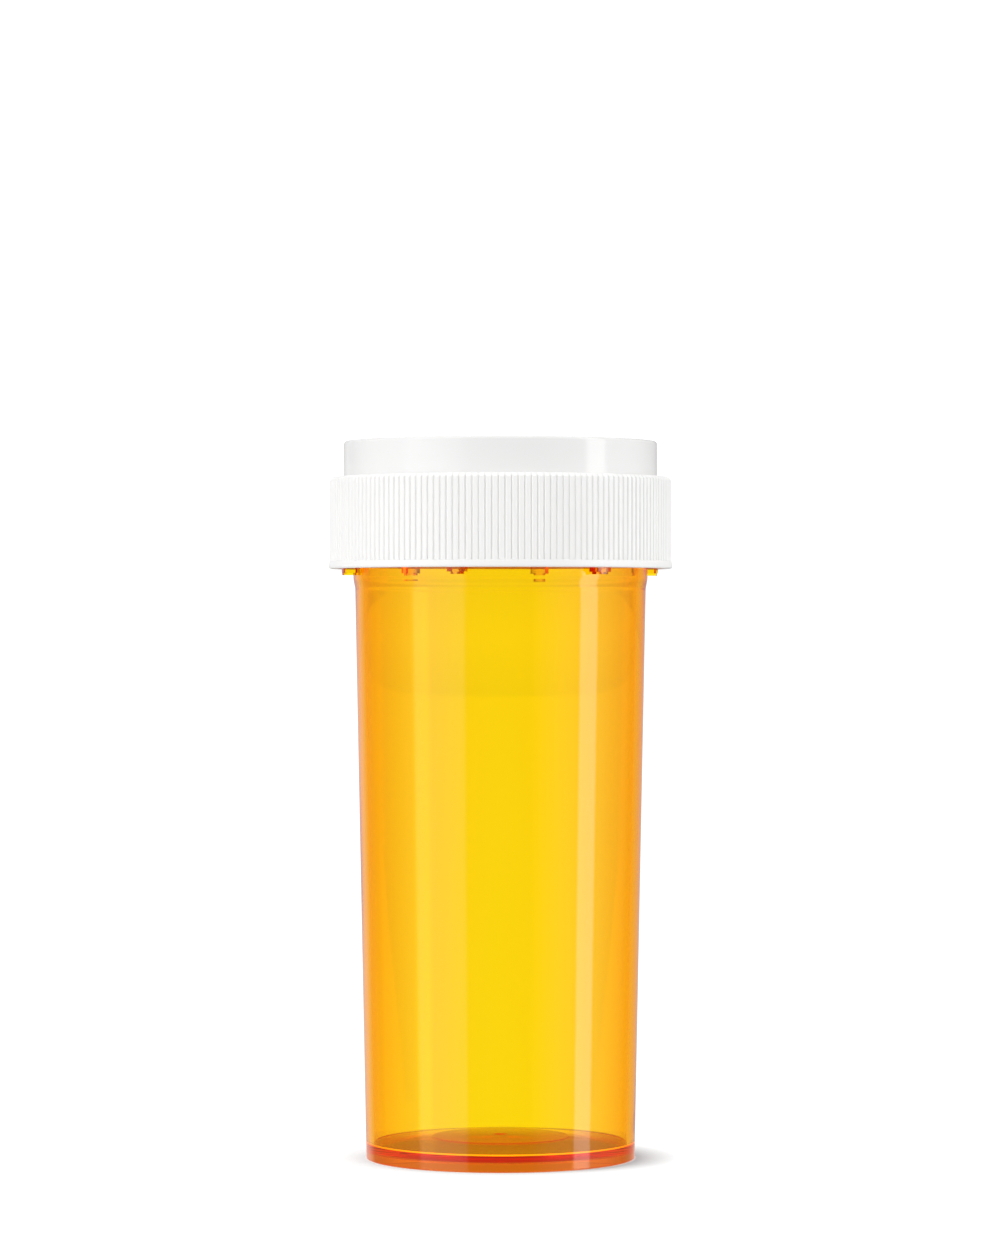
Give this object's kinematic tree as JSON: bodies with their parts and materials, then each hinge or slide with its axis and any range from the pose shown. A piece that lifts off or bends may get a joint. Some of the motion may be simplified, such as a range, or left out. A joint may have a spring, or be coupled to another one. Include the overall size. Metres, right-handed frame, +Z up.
{
  "type": "prescription vial",
  "caption": "Translucent amber pill vial with a white reversible push-and-turn cap: ribbed skirt below, smooth threaded ring above, sprung seal disc inside.",
  "frame": {"origin": "middle of the foot, on the plane the vial stands on", "axes": "+Z up the vial's axis towards the cap; -Y is the front, the side with a locking stop just left of its middle"},
  "size_m": [0.05, 0.05, 0.1038],
  "materials": {
    "amber": "clear amber, polished",
    "white_cap": "white, satin ribs and a glossier ring",
    "natural_disc": "natural, slightly milky"
  },
  "bodies": {
    "vial": {"vial_body": "amber"},
    "disc": {"seal_disc": "natural_disc"},
    "cap": {"cap_shell": "white_cap"}
  },
  "joints": [
    {"name": "cap_lift", "type": "slide", "parent": "vial", "child": "disc", "axis": [0, 0, 1], "range_m": [0, 0.03]},
    {"name": "cap_turn", "type": "hinge", "parent": "disc", "child": "cap", "pos_m": [0, 0, 0.09], "axis": [0, 0, 1], "range_deg": [-24, 0]}
  ]
}
